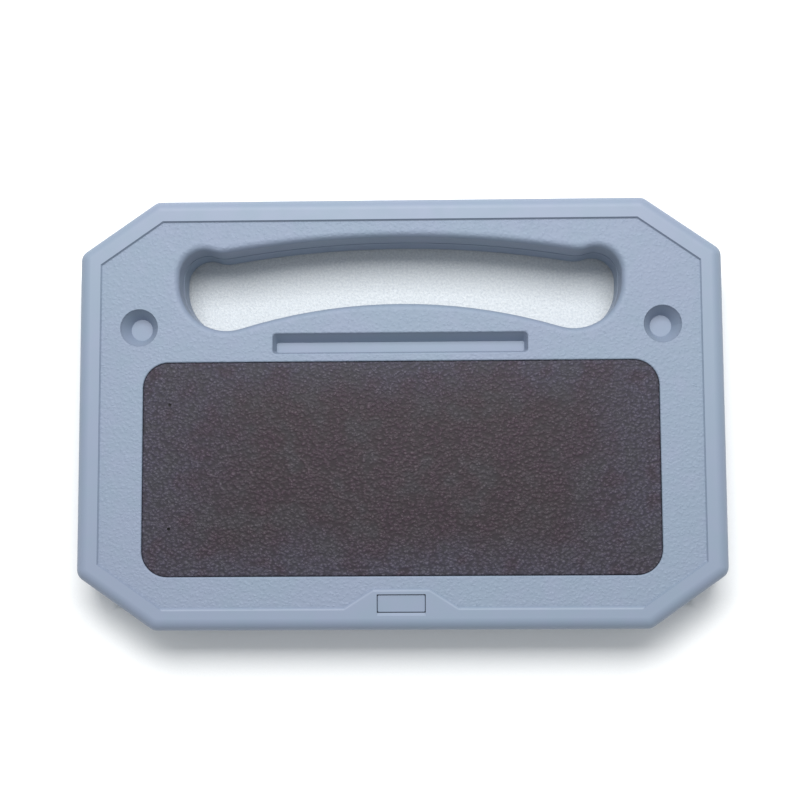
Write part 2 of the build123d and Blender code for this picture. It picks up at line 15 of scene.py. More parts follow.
import bmesh
import bpy
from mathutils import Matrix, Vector


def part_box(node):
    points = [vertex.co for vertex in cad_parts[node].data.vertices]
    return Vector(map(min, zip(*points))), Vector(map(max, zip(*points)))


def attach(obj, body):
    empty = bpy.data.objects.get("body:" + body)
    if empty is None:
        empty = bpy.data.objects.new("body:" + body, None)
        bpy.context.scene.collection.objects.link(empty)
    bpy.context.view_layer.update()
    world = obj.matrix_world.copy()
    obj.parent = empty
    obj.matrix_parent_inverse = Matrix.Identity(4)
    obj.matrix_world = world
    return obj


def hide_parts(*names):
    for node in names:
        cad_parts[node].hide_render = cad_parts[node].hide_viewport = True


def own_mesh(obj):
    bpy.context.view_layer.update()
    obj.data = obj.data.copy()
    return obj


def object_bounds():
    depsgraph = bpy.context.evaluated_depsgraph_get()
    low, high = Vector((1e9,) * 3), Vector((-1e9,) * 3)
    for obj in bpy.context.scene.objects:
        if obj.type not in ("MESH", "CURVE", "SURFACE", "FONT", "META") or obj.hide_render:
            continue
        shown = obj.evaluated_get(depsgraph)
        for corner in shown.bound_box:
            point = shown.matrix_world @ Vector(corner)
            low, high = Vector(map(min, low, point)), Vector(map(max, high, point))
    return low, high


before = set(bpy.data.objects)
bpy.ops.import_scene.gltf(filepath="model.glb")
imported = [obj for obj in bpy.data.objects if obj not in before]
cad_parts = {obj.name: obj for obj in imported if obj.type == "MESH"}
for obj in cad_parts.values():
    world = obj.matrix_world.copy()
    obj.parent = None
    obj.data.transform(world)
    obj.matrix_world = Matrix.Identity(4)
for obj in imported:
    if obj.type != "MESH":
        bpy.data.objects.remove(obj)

MM = 0.001


def box_mm(node):
    """Lowest and highest corners of a node, in millimetres."""
    return [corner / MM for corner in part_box(node)]


def middle_of(node):
    low, high = box_mm(node)
    return (low + high) / 2


case_low, case_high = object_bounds()
print("case box:", [round(v, 4) for v in (*case_low, *case_high)])

# %% [markdown]
# ## Writing node trees as sums
#
# A tree of forty nodes is hard to read as a list of links. The two small classes below let a
# pattern be written as an expression instead. A `Wire` is one output of a node, and adding or
# multiplying wires adds the Math nodes. A `Graph` owns the tree, and its `node` method makes
# any other node: first its settings, then the values or wires that go into its sockets. The
# same classes serve for materials and for Geometry Nodes, because both use these nodes.

# %% Wire and Graph
class Wire:
    """One output socket. Arithmetic on it adds Math nodes to its tree."""

    def __init__(self, graph, socket):
        self.graph, self.socket = graph, socket

    def math(self, operation, *values):
        return self.graph.node("ShaderNodeMath", {"operation": operation}, dict(enumerate(values)))

    def __add__(self, other):
        return self.math("ADD", self, other)

    __radd__ = __add__

    def __sub__(self, other):
        return self.math("SUBTRACT", self, other)

    def __rsub__(self, other):
        return self.math("SUBTRACT", other, self)

    def __mul__(self, other):
        return self.math("MULTIPLY", self, other)

    __rmul__ = __mul__

    def __truediv__(self, other):
        return self.math("DIVIDE", self, other)

    def __pow__(self, other):
        return self.math("POWER", self, other)

    def __abs__(self):
        return self.math("ABSOLUTE", self)

    def smaller(self, other):
        return self.math("MINIMUM", self, other)

    def larger(self, other):
        return self.math("MAXIMUM", self, other)

    def ramp(self, start, end, low=0.0, high=1.0):
        """Goes smoothly from low to high as this value goes from start to end."""
        return self.graph.node("ShaderNodeMapRange", {"interpolation_type": "SMOOTHSTEP"}, {
            "Value": self, "From Min": start, "From Max": end, "To Min": low, "To Max": high})


class Graph:
    """A node tree, built by asking for one node after another."""

    def __init__(self, tree):
        self.tree = tree
        tree.nodes.clear()

    def node(self, kind, settings=None, inputs=None, out=0):
        made = self.tree.nodes.new(kind)
        for name, value in (settings or {}).items():
            setattr(made, name, value)
        for name, value in (inputs or {}).items():
            if isinstance(value, Wire):
                self.tree.links.new(value.socket, made.inputs[name])
            else:
                made.inputs[name].default_value = value
        return Wire(self, made.outputs[out]) if made.outputs else made

    def split(self, vector):
        first = self.node("ShaderNodeSeparateXYZ", None, {0: vector})
        outputs = first.socket.node.outputs
        return [Wire(self, outputs[axis]) for axis in range(3)]

    def scaled(self, vector, factor):
        return self.node("ShaderNodeVectorMath", {"operation": "SCALE"}, {0: vector, "Scale": factor})

    def mix(self, share, first, second):
        """A colour between two colours."""
        return self.node("ShaderNodeMix", {"data_type": "RGBA"}, {0: share, 6: first, 7: second}, out=2)

    def noise(self, place, size, detail=2.0, rough=0.5):
        """Cloudy noise whose blobs are about size across, from 0 to 1."""
        return self.node("ShaderNodeTexNoise", None, {
            "Vector": place, "Scale": 1.0 / size, "Detail": detail, "Roughness": rough})

    def cells(self, place, size, feature="SMOOTH_F1", soft=0.4):
        """Distance to the nearest of scattered points about size apart."""
        inputs = {"Vector": place, "Scale": 1.0 / size}
        if feature == "SMOOTH_F1":
            inputs["Smoothness"] = soft
        return self.node("ShaderNodeTexVoronoi", {"feature": feature}, inputs)


# %% [markdown]
# ## A start for every material
#
# Each finish below is a function on a fresh material: it gets the position in millimetres and
# gives back the colour, the roughness and the height of its fine relief. The relief goes
# through a Bump node, and its distance is the real depth of the texture in metres.

# %% Material helper
def make_material(name, finish, metallic=0.0, **constants):
    material = bpy.data.materials.new(name)
    material.use_nodes = True
    graph = Graph(material.node_tree)
    place = graph.scaled(graph.node("ShaderNodeTexCoord", out="Object"), 1.0 / MM)
    colour, rough, height, depth = finish(graph, place)
    normal = graph.node("ShaderNodeBump", None, {"Height": height, "Distance": depth, "Strength": 1.0})
    inputs = {"Base Color": colour, "Roughness": rough, "Normal": normal, "Metallic": metallic}
    inputs.update({key.replace("_", " "): value for key, value in constants.items()})
    surface = graph.node("ShaderNodeBsdfPrincipled", None, inputs)
    graph.node("ShaderNodeOutputMaterial", None, {"Surface": surface})
    print("material", name, "has", len(material.node_tree.nodes), "nodes")
    return material


def tone(red, green, blue):
    return (red, green, blue, 1.0)


# %% [markdown]
# ## The blue-grey case plastic
#
# The case is injection moulded. Its rim is smooth, and the field inside the rim, one step
# lower, carries a fine leather-like grain that was etched into the mould. One material does
# both: it works out how far each point is in from the eight-sided outline and how high it
# lies, and lets the grain show only on the field. A slow drift of colour keeps the large flat
# areas from looking painted.

# %% Case plastic
HALF_WIDTH, HALF_DEPTH = case_high.x / MM, case_high.y / MM
CORNER_X, CORNER_Y = 28.7, 20.1          # how far the cut corners run along the sides
RIM_WIDTH = 8.0
RIM_TOP = case_high.z / MM
FIELD_DEPTH = 1.0
FIELD_PEBBLE = 1.2
BUTTON_MIDDLE = middle_of("latch_button")
BUTTON_HALF = Vector((8.9, 3.3))         # the smooth cap, without the flange under the lid
PLASTIC = tone(0.213, 0.261, 0.342)
PLASTIC_VIOLET = tone(0.223, 0.259, 0.352)
PLASTIC_GREEN = tone(0.203, 0.262, 0.331)


def inset(graph, x, y):
    """Distance in from the case's outline, measured square to its nearest side."""
    side = HALF_WIDTH - abs(x)
    end = HALF_DEPTH - abs(y)
    corner = (side * CORNER_Y + end * CORNER_X - CORNER_X * CORNER_Y) / hypot(CORNER_X, CORNER_Y)
    return side.smaller(end).smaller(corner)


def pebble(graph, place, size):
    """Height of a fine leather grain, 0 to 1: small pebbles, crossed by narrow winding creases."""
    sway = graph.node("ShaderNodeTexNoise", None, {
        "Vector": place, "Scale": 0.6 / size, "Detail": 1.0}, out="Color")
    swayed = graph.node("ShaderNodeVectorMath", {"operation": "MULTIPLY_ADD"}, {
        0: sway, 1: (1.2 * size, 1.2 * size, size), 2: place})
    longer = graph.node("ShaderNodeVectorMath", {"operation": "MULTIPLY"}, {0: swayed, 1: (0.8, 1.0, 1.0)})
    stones = graph.cells(longer, size).ramp(0.75, 0.1)
    winding = abs(graph.noise(longer, size * 0.8, detail=1.0) - 0.5).ramp(0.0, 0.08)
    return stones * (0.35 + 0.65 * winding)


def case_finish(graph, place):
    x, y, z = graph.split(place)
    field = inset(graph, x, y).ramp(RIM_WIDTH - 0.2, RIM_WIDTH + 0.6)
    level = z.ramp(RIM_TOP - FIELD_DEPTH + 0.6, RIM_TOP - FIELD_DEPTH + 0.2)
    above = z.ramp(RIM_TOP - FIELD_DEPTH - 1.2, RIM_TOP - FIELD_DEPTH - 0.1)
    button = (abs(x) / BUTTON_HALF.x).larger(abs(y - BUTTON_MIDDLE.y) / BUTTON_HALF.y).ramp(0.98, 1.02)
    grained = field * level * above * button
    grain = pebble(graph, place, FIELD_PEBBLE)
    crease = graph.noise(place, 2.2, detail=3.0)
    drift = graph.noise(place, 34.0, detail=1.0)
    patch = graph.noise(place, 7.0, detail=1.0)
    tint = graph.mix((drift * 0.6 + patch * 0.4).ramp(0.35, 0.65), PLASTIC_VIOLET, PLASTIC_GREEN)
    colour = graph.mix(0.5, PLASTIC, tint)
    shade = 0.97 + 0.05 * drift + grained * (grain * 0.06 - 0.03)
    colour = graph.node("ShaderNodeVectorMath", {"operation": "SCALE"}, {0: colour, "Scale": shade})
    fine = graph.noise(place, 0.35, detail=2.0)
    rough = 0.46 + grained * 0.12 + 0.06 * patch
    height = grained * (grain * 0.6 + crease * 0.6) + fine * 0.06
    return colour, rough, height, 0.00018


case_plastic = make_material("case_plastic", case_finish, Specular_IOR_Level=0.42)

# %% [markdown]
# ## The pad's leather-grained skin
#
# The skin is a porous sheet pressed with a close leather grain. Its middle has taken up more
# ink and looks redder and darker, its border stays greyer and bluer, and the ink has spread
# unevenly, so small patches lean towards purple or green. The tips of the pebbles and a few
# scattered flecks carry a painted highlight, a lighter colour. The grain itself is real geometry
# further down, made with the same `pebble` pattern, so that the painted highlights in this
# material sit exactly on the raised pebbles.

# %% Pad leather
pad_low, pad_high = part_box("pad_skin")
PAD_X, PAD_Y = (pad_low.x + pad_high.x) / 2 / MM, (pad_low.y + pad_high.y) / 2 / MM
PAD_HALF_LENGTH = (pad_high.x - pad_low.x) / 2 / MM
PAD_HALF_WIDTH = (pad_high.y - pad_low.y) / 2 / MM
PEBBLE = 1.0
INK_MIDDLE = tone(0.038, 0.027, 0.034)
INK_BORDER = tone(0.048, 0.044, 0.064)
INK_GREEN = tone(0.036, 0.036, 0.042)
INK_PURPLE = tone(0.046, 0.028, 0.041)
HOLE_X, HOLE_YS = -85.7, (3.0, -42.9)    # two pin holes near the left end


def pad_finish(graph, place):
    x, y, z = graph.split(place)
    out_x = abs(x - PAD_X) / PAD_HALF_LENGTH
    out_y = abs(y - PAD_Y) / PAD_HALF_WIDTH
    spread = graph.noise(place, 26.0, detail=2.0)
    border = (out_x.larger(out_y) + 0.5 * spread).ramp(0.75, 1.3)
    ink = graph.mix(border, INK_MIDDLE, INK_BORDER)
    patch = graph.noise(place, 9.0, detail=1.0)
    ink = graph.mix(0.5 * patch.ramp(0.5, 0.7), ink, INK_GREEN)
    ink = graph.mix(0.5 * patch.ramp(0.5, 0.3), ink, INK_PURPLE)
    grain = pebble(graph, place, PEBBLE)
    # Painted highlight: the pebble tips and a few scattered flecks are made lighter in the colour.
    painted_light = graph.cells(place, 4.2, "F1").ramp(0.13, 0.05)
    shade = 0.55 + grain * 0.95 + painted_light * 0.6 + (patch - 0.5) * 0.3
    # Painted shade: the two pin holes have no depth, so their shade is painted as black spots.
    hole_shade = 1.0
    for hole_y in HOLE_YS:
        away = ((x - HOLE_X) ** 2.0 + (y - hole_y) ** 2.0) ** 0.5
        hole_shade = away.ramp(0.45, 0.75) * hole_shade
    colour = graph.node("ShaderNodeVectorMath", {"operation": "SCALE"}, {0: ink, "Scale": shade * hole_shade})
    rough = 0.56 - grain * 0.10 + 0.08 * spread
    height = grain * 0.8 + graph.noise(place, 0.45, detail=2.0) * 0.3
    return colour, rough, height, 0.00018


pad_leather = make_material("pad_leather", pad_finish, Specular_IOR_Level=0.28)

# %% [markdown]
# ## The finishes inside the case
#
# The closing plate under the lid is moulded in the case's own colour, a shade duller and with
# a spark-eroded surface. The latch parts and the pad's tray are dark grey acetal, which shows
# faint flow marks. The feet are rubber with a dusty bloom. Screws are zinc plated, pins and
# springs are drawn steel with fine lines along the wire, and the felt is a mat of fibres
# soaked with ink.

# %% Inner finishes
def liner_finish(graph, place):
    spark = graph.noise(place, 0.5, detail=3.0)
    drift = graph.noise(place, 40.0, detail=1.0)
    colour = graph.mix(drift.ramp(0.3, 0.7), tone(0.28, 0.345, 0.455), tone(0.265, 0.345, 0.435))
    return colour, 0.52 + 0.1 * spark, spark, 0.00006


def acetal_finish(graph, place):
    x, y, z = graph.split(place)
    flow = graph.noise(graph.node("ShaderNodeCombineXYZ", None, {0: x * 0.15, 1: y, 2: z}), 3.0, detail=3.0)
    spark = graph.noise(place, 0.4)
    colour = graph.mix(flow.ramp(0.35, 0.65), tone(0.046, 0.050, 0.056), tone(0.058, 0.062, 0.070))
    return colour, 0.40 + 0.14 * flow, spark, 0.00004


def rubber_finish(graph, place):
    bloom = graph.noise(place, 5.0, detail=4.0)
    pits = graph.noise(place, 0.3, detail=2.0)
    colour = graph.mix(bloom.ramp(0.5, 0.8), tone(0.022, 0.022, 0.024), tone(0.055, 0.055, 0.058))
    return colour, 0.78 + 0.12 * bloom, pits, 0.00008


def zinc_finish(graph, place):
    cloud = graph.noise(place, 1.2, detail=3.0)
    scratch = graph.noise(place, 0.12, detail=1.0)
    colour = graph.mix(cloud.ramp(0.3, 0.7), tone(0.52, 0.53, 0.55), tone(0.66, 0.66, 0.64))
    return colour, 0.26 + 0.16 * cloud, scratch, 0.00001


def drawn_steel_finish(graph, place):
    x, y, z = graph.split(place)
    line = graph.noise(graph.node("ShaderNodeCombineXYZ", None, {0: x * 0.05, 1: y, 2: z}), 0.12, detail=2.0)
    oil = graph.noise(place, 3.0, detail=2.0)
    colour = graph.mix(oil.ramp(0.35, 0.7), tone(0.56, 0.56, 0.57), tone(0.42, 0.42, 0.44))
    return colour, 0.20 + 0.15 * line, line, 0.00001


def felt_finish(graph, place):
    x, y, z = graph.split(place)
    lay = graph.node("ShaderNodeCombineXYZ", None, {0: x * 0.35, 1: y, 2: z})
    fibre = graph.noise(lay, 0.35, detail=4.0, rough=0.65)
    soak = graph.noise(place, 14.0, detail=2.0)
    colour = graph.mix(soak.ramp(0.3, 0.7), tone(0.055, 0.032, 0.040), tone(0.105, 0.075, 0.085))
    return colour, 0.82 + 0.15 * fibre, fibre, 0.00025


liner_plastic = make_material("liner_plastic", liner_finish, Specular_IOR_Level=0.4)
acetal = make_material("acetal", acetal_finish, Specular_IOR_Level=0.45)
foot_rubber = make_material("foot_rubber", rubber_finish, Specular_IOR_Level=0.25)
zinc_steel = make_material("zinc_steel", zinc_finish, metallic=1.0)
drawn_steel = make_material("drawn_steel", drawn_steel_finish, metallic=1.0)
ink_felt = make_material("ink_felt_fibre", felt_finish, Specular_IOR_Level=0.2)

# %% [markdown]
# ## Finishes on the moulded pieces
#
# Shells, plates, brackets and the button already have their true shape, so they keep their
# mesh and only get a finish.

# %% Dress the moulded pieces
FINISHES = {
    case_plastic: ["lid_shell", "base_shell", "latch_button"],
    liner_plastic: ["lid_liner"],
    acetal: ["latch_bracket", "latch_hook", "pad_tray"],
    drawn_steel: ["front_catch"],
}
for finish, nodes in FINISHES.items():
    for node in nodes:
        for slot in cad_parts[node].material_slots:
            slot.material = finish

# %% [markdown]
# ## Helpers for geometry
#
# `grow` runs a Geometry Nodes tree once and keeps the result as a plain mesh. The tree's
# named inputs are set on the modifier by their identifiers, the evaluated object is copied
# with `new_from_object`, and the modifier is thrown away.

# %% Geometry helpers
def new_object(name, mesh, material=None):
    made = bpy.data.objects.new(name, mesh)
    bpy.context.scene.collection.objects.link(made)
    if material:
        mesh.materials.append(material)
    return made


def mesh_from(name, points, faces=()):
    mesh = bpy.data.meshes.new(name)
    mesh.from_pydata([tuple(p) for p in points], [], [tuple(f) for f in faces])
    mesh.update()
    return mesh


class Growth(Graph):
    """A Geometry Nodes tree with named inputs: numbers, unless the name says otherwise."""

    SOCKETS = {"Material": "NodeSocketMaterial", "Screw": "NodeSocketObject"}

    def __init__(self, name, inputs):
        tree = bpy.data.node_groups.new(name, "GeometryNodeTree")
        super().__init__(tree)
        tree.interface.new_socket("Geometry", in_out="INPUT", socket_type="NodeSocketGeometry")
        for label, value in inputs.items():
            kind = self.SOCKETS.get(label, "NodeSocketFloat")
            made = tree.interface.new_socket(label, in_out="INPUT", socket_type=kind)
            if value is not None:
                made.default_value = value
        tree.interface.new_socket("Geometry", in_out="OUTPUT", socket_type="NodeSocketGeometry")
        self.entry = tree.nodes.new("NodeGroupInput")

    def input(self, label):
        return Wire(self, self.entry.outputs[label])

    def moved(self, offset):
        """The input geometry, with each point moved by the offset."""
        return self.node("GeometryNodeSetPosition", None, {
            "Geometry": self.input("Geometry"), "Offset": offset})

    def finish(self, geometry):
        real = self.node("GeometryNodeRealizeInstances", None, {0: geometry})
        done = self.node("GeometryNodeSetMaterial", None, {
            "Geometry": real, "Material": self.input("Material")})
        self.node("NodeGroupOutput", None, {"Geometry": done})
        return self.tree


def grow(name, mesh, tree, values, body):
    """The plain mesh that a tree makes of a start mesh, as a new piece on a body."""
    start = new_object(name + "_start", mesh)
    modifier = start.modifiers.new("grow", "NODES")
    modifier.node_group = tree
    for item in tree.interface.items_tree:
        if item.in_out == "INPUT" and item.name in values:
            modifier[item.identifier] = values[item.name]
    graph = bpy.context.evaluated_depsgraph_get()
    result = bpy.data.meshes.new_from_object(start.evaluated_get(graph), depsgraph=graph)
    result.name = name
    start.modifiers.remove(modifier)
    bpy.data.objects.remove(start)
    piece = new_object(name, result)
    result.shade_smooth()
    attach(piece, body)
    print(name, "has", len(result.polygons), "faces")
    return piece


# %% [markdown]
# ## The pad's skin
#
# On the real object the skin is stretched over the felt and folded down round the tray, so it
# stands very slightly crowned, with a soft edge. It could be a plain rounded box with a bump
# map, but the grain is coarse enough to break up the outline of the highlights, so it is
# built in relief. First a coarse sheet is blown up a little by the cloth simulation, held at
# its edge, which gives the crown. Then a fine sheet takes over that crown, is closed with its
# rolled edge and its inner face, and gets the pebbles from Geometry Nodes.
#
# Both sheets use the same even grid. A square grid is bent to the rounded corners with a
# mapping that turns the corner of a square into a quarter of a disc.

# %% Grid on a rounded rectangle
PAD_ROUND = 9.3


def spaced(half, radius, step):
    """Grid lines from -half to half: even in the straight part and in both corner parts."""
    straight = max(2, round(2 * (half - radius) / step))
    corner = max(2, round(radius / step))
    lines = [-half + radius * k / corner for k in range(corner)]
    lines += [-(half - radius) + 2 * (half - radius) * k / straight for k in range(straight + 1)]
    return lines + [half - radius * (corner - k) / corner for k in range(1, corner + 1)]


def rounded_point(x, y, half_x, half_y, radius):
    """Moves a grid point so that the grid's square corners become round."""
    over_x, over_y = abs(x) - (half_x - radius), abs(y) - (half_y - radius)
    if over_x <= 0 or over_y <= 0:
        return x, y
    u, v = over_x / radius, over_y / radius
    along = half_x - radius + radius * u * sqrt(1 - v * v / 2)
    across = half_y - radius + radius * v * sqrt(1 - u * u / 2)
    return (along if x > 0 else -along), (across if y > 0 else -across)


def grid_lines(half_x, half_y, radius, step):
    return spaced(half_x, radius, step), spaced(half_y, radius, step)


def rim_of_grid(last, across):
    """Indices round the border of a grid, in order."""
    ring = [j for j in range(across - 1, 0, -1)] + [i * across for i in range(last)]
    ring += [last * across + j for j in range(across - 1)]
    return ring + [i * across + across - 1 for i in range(last, 0, -1)]


def outward(mesh):
    """Turns every face of a closed mesh outwards."""
    shape = bmesh.new()
    shape.from_mesh(mesh)
    bmesh.ops.recalc_face_normals(shape, faces=shape.faces)
    shape.to_mesh(mesh)
    shape.free()
    return mesh


# %% Blow up the coarse sheet
CROWN_CAP = 0.7          # millimetres
SIM_STEP = 5.0
TOP_LEVEL = pad_high.z / MM


def crown_sheet():
    """Heights of the simulated crown on the coarse grid, in millimetres."""
    xs, ys = grid_lines(PAD_HALF_LENGTH, PAD_HALF_WIDTH, PAD_ROUND, SIM_STEP)
    across = len(ys)
    points = []
    for x in xs:
        for y in ys:
            px, py = rounded_point(x, y, PAD_HALF_LENGTH, PAD_HALF_WIDTH, PAD_ROUND)
            points.append((px * MM, py * MM, 0.0))
    faces = [(i * across + j, (i + 1) * across + j, (i + 1) * across + j + 1, i * across + j + 1)
             for i in range(len(xs) - 1) for j in range(across - 1)]
    sheet = new_object("crown_sheet", mesh_from("crown_sheet", points, faces))
    rim = [i * across + j for i in range(len(xs)) for j in range(across)
           if i in (0, len(xs) - 1) or j in (0, across - 1)]
    sheet.vertex_groups.new(name="held").add(rim, 1.0, "REPLACE")
    cloth = sheet.modifiers.new("cloth", "CLOTH")
    cloth.settings.vertex_group_mass = "held"
    cloth.settings.use_pressure = True
    cloth.settings.uniform_pressure_force = 4.0
    cloth.settings.tension_stiffness = 40.0
    cloth.settings.bending_stiffness = 8.0
    cloth.settings.effector_weights.gravity = 0.0
    scene = bpy.context.scene
    for number in range(1, 21):
        scene.frame_set(number)
    graph = bpy.context.evaluated_depsgraph_get()
    blown = sheet.evaluated_get(graph).to_mesh()
    raised = [v.co.z / MM for v in blown.vertices]
    top = max(raised, key=abs)
    heights = [CROWN_CAP * h / top if abs(top) > 1e-6 else 0.0 for h in raised]
    print("crown rises", round(top, 3), "mm before its cap of", CROWN_CAP)
    sheet.modifiers.remove(cloth)
    bpy.data.objects.remove(sheet)
    scene.frame_set(1)
    return [heights[i * across:(i + 1) * across] for i in range(len(xs))]


crown = crown_sheet()

# %% Fine sheet with its rolled edge and inner face
FINE_STEP = 0.38
EDGE_ROLL = 0.5
EDGE_SWELL = 0.15        # the soft edge nearly closes the gap to the well's wall
SKIN_THICK = 0.8
SKIN_BOTTOM = pad_low.z / MM


def crown_at(u, v):
    """Crown height at a place given from 0 to 1 along and across the grid, between grid points."""
    place_i, place_j = u * (len(crown) - 1), v * (len(crown[0]) - 1)
    i, j = min(int(place_i), len(crown) - 2), min(int(place_j), len(crown[0]) - 2)
    s, t = place_i - i, place_j - j
    s, t = s * s * (3 - 2 * s), t * t * (3 - 2 * t)
    near = crown[i][j] * (1 - t) + crown[i][j + 1] * t
    far = crown[i + 1][j] * (1 - t) + crown[i + 1][j + 1] * t
    return near * (1 - s) + far * s


def fine_skin():
    half_x, half_y = PAD_HALF_LENGTH - EDGE_ROLL + EDGE_SWELL, PAD_HALF_WIDTH - EDGE_ROLL + EDGE_SWELL
    radius = PAD_ROUND - EDGE_ROLL
    xs, ys = grid_lines(half_x, half_y, radius, FINE_STEP)
    across = len(ys)
    points, faces = [], []
    for i, x in enumerate(xs):
        for j, y in enumerate(ys):
            px, py = rounded_point(x, y, half_x, half_y, radius)
            rise = crown_at(i / (len(xs) - 1), j / (across - 1))
            points.append((px, py, TOP_LEVEL + rise))
    for i in range(len(xs) - 1):
        for j in range(across - 1):
            first = i * across + j
            faces.append((first, first + across, first + across + 1, first + 1))
    ring = rim_of_grid(len(xs) - 1, across)
    away_from = []
    for index in ring:
        px, py, pz = points[index]
        core_x = max(-(half_x - radius), min(half_x - radius, px))
        core_y = max(-(half_y - radius), min(half_y - radius, py))
        away = Vector((px - core_x, py - core_y)).normalized()
        away_from.append(away)
    roll = [radians(30), radians(60), radians(90)]
    levels = [(EDGE_ROLL * sin(turn), -EDGE_ROLL * (1 - cos(turn))) for turn in roll]
    levels += [(EDGE_ROLL, SKIN_BOTTOM - TOP_LEVEL)]
    levels += [(EDGE_ROLL - SKIN_THICK, SKIN_BOTTOM - TOP_LEVEL), (EDGE_ROLL - SKIN_THICK, -SKIN_THICK)]
    previous = ring
    for out, drop in levels:
        start = len(points)
        for index, away in zip(ring, away_from):
            px, py, _ = points[index]
            points.append((px + away.x * out, py + away.y * out, TOP_LEVEL + drop))
        current = list(range(start, start + len(ring)))
        for k in range(len(ring)):
            n = (k + 1) % len(ring)
            faces.append((previous[k], current[k], current[n], previous[n]))
        previous = current
    faces.append(tuple(reversed(previous)))
    placed = [((x + PAD_X) * MM, (y + PAD_Y) * MM, z * MM) for x, y, z in points]
    return outward(mesh_from("pad_cover", placed, faces))


# %% [markdown]
# The pebbles rise along the surface's normal. The tree reads the same `pebble` pattern that
# colours the leather, and fades it out below the rolled edge, where the skin is pressed flat
# against the tray. A few shallow, wider swells keep the large face from being dead flat.

# %% Press the grain into the skin
def grain_tree():
    growth = Growth("leather grain", {"Depth": 0.1, "Swell": 0.1, "Material": None})
    place = growth.scaled(growth.node("GeometryNodeInputPosition"), 1.0 / MM)
    x, y, z = growth.split(place)
    on_top = z.ramp(TOP_LEVEL - 0.6, TOP_LEVEL - 0.1)
    relief = (pebble(growth, place, PEBBLE) - 0.5) * growth.input("Depth")
    swell = (growth.noise(place, 18.0, detail=1.0) - 0.5) * growth.input("Swell")
    push = (relief + swell) * on_top * MM
    return growth.finish(growth.moved(growth.node("ShaderNodeCombineXYZ", None, {2: push})))


pad_cover = grow("pad_cover", fine_skin(), grain_tree(), {
    "Depth": 0.11, "Swell": 0.12, "Material": pad_leather}, "pad_cartridge")
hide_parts("pad_skin")

# %% [markdown]
# ## The felt under the skin
#
# The felt is the ink's reservoir: a thick pressed mat, seen only if the skin is taken off. It
# is the same rounded outline on an even grid, closed below, with its fibres raised by another
# small tree. It must never push through the skin, so the relief only lowers its surface.

# %% Felt block
felt_low, felt_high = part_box("ink_felt")
FELT_STEP = 1.1
FELT_ROUND = PAD_ROUND - 2.4
FELT_CLEAR = 0.02        # kept free under the skin


def rounded_block(name, half_x, half_y, radius, middle, low, high, step):
    """Closed block with an even grid above and below and one wall of quads round it."""
    xs, ys = grid_lines(half_x, half_y, radius, step)
    across, last = len(ys), len(xs) - 1
    flat = [rounded_point(x, y, half_x, half_y, radius) for x in xs for y in ys]
    points = [((x + middle[0]) * MM, (y + middle[1]) * MM, z * MM) for z in (high, low)
              for x, y in flat]
    faces = []
    for i in range(last):
        for j in range(across - 1):
            first = i * across + j
            square = [first, first + across, first + across + 1, first + 1]
            faces.append(square)
            faces.append([index + len(flat) for index in reversed(square)])
    ring = rim_of_grid(last, across)
    for k, index in enumerate(ring):
        following = ring[(k + 1) % len(ring)]
        faces.append([index, index + len(flat), following + len(flat), following])
    return outward(mesh_from(name, points, faces))


def felt_tree():
    growth = Growth("felt fibres", {"Depth": 0.1, "Material": None})
    place = growth.scaled(growth.node("GeometryNodeInputPosition"), 1.0 / MM)
    mat = growth.node("ShaderNodeVectorMath", {"operation": "MULTIPLY"}, {0: place, 1: (0.4, 1.0, 1.0)})
    sink = growth.noise(mat, 1.6, detail=3.0) * growth.input("Depth") * -MM
    offset = growth.node("ShaderNodeVectorMath", {"operation": "SCALE"}, {
        0: growth.node("GeometryNodeInputNormal"), "Scale": sink})
    return growth.finish(growth.moved(offset))


felt_half = (felt_high - felt_low) / 2 / MM
felt_start = rounded_block("felt_mat", felt_half.x, felt_half.y, FELT_ROUND, (PAD_X, PAD_Y),
                           felt_low.z / MM, felt_high.z / MM - FELT_CLEAR, FELT_STEP)
felt = grow("felt_mat", felt_start, felt_tree(), {"Depth": 0.12, "Material": ink_felt}, "pad_cartridge")
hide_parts("ink_felt")

# %% [markdown]
# ## Turned pieces
#
# Feet and pins are turned or moulded about an axis, so one helper spins a profile. A profile
# is a list of (radius, distance along the axis) that starts and ends on the axis, and the
# helper closes both ends with a fan. The rubber feet get a soft rim, a slightly hollow sole
# and the bulb that snaps through the hole in the base. The pins get chamfered ends.

# %% Lathe
def on_circle(radius, turn, height):
    """Point on a circle about the vertical, at a part of a full turn."""
    return Vector((radius * cos(2 * pi * turn), radius * sin(2 * pi * turn), height))


def lathe(name, profile, place, along=(0, 0, 1), segments=48):
    """Closed turned mesh from (radius, distance) pairs in millimetres."""
    turn = Vector((0, 0, 1)).rotation_difference(Vector(along))
    points, rows = [], []
    for radius, distance in profile:
        if radius == 0:
            rows.append([len(points)])
            points.append(Vector((0, 0, distance)))
            continue
        rows.append(list(range(len(points), len(points) + segments)))
        points += [on_circle(radius, k / segments, distance) for k in range(segments)]
    faces = []
    for one, two in zip(rows, rows[1:]):
        for k in range(segments):
            n = (k + 1) % segments
            corners = [one[k % len(one)], one[n % len(one)], two[n % len(two)], two[k % len(two)]]
            faces.append(list(dict.fromkeys(corners)))
    spot = Vector(place)
    return outward(mesh_from(name, [(turn @ p + spot) * MM for p in points], faces))


SHARP_FROM = radians(35)


def place_piece(name, mesh, material, body, replaced):
    piece = new_object(name, mesh, material)
    mesh.shade_smooth()
    mesh.set_sharp_from_angle(angle=SHARP_FROM)
    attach(piece, body)
    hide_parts(replaced)
    print(name, "has", len(mesh.polygons), "faces")


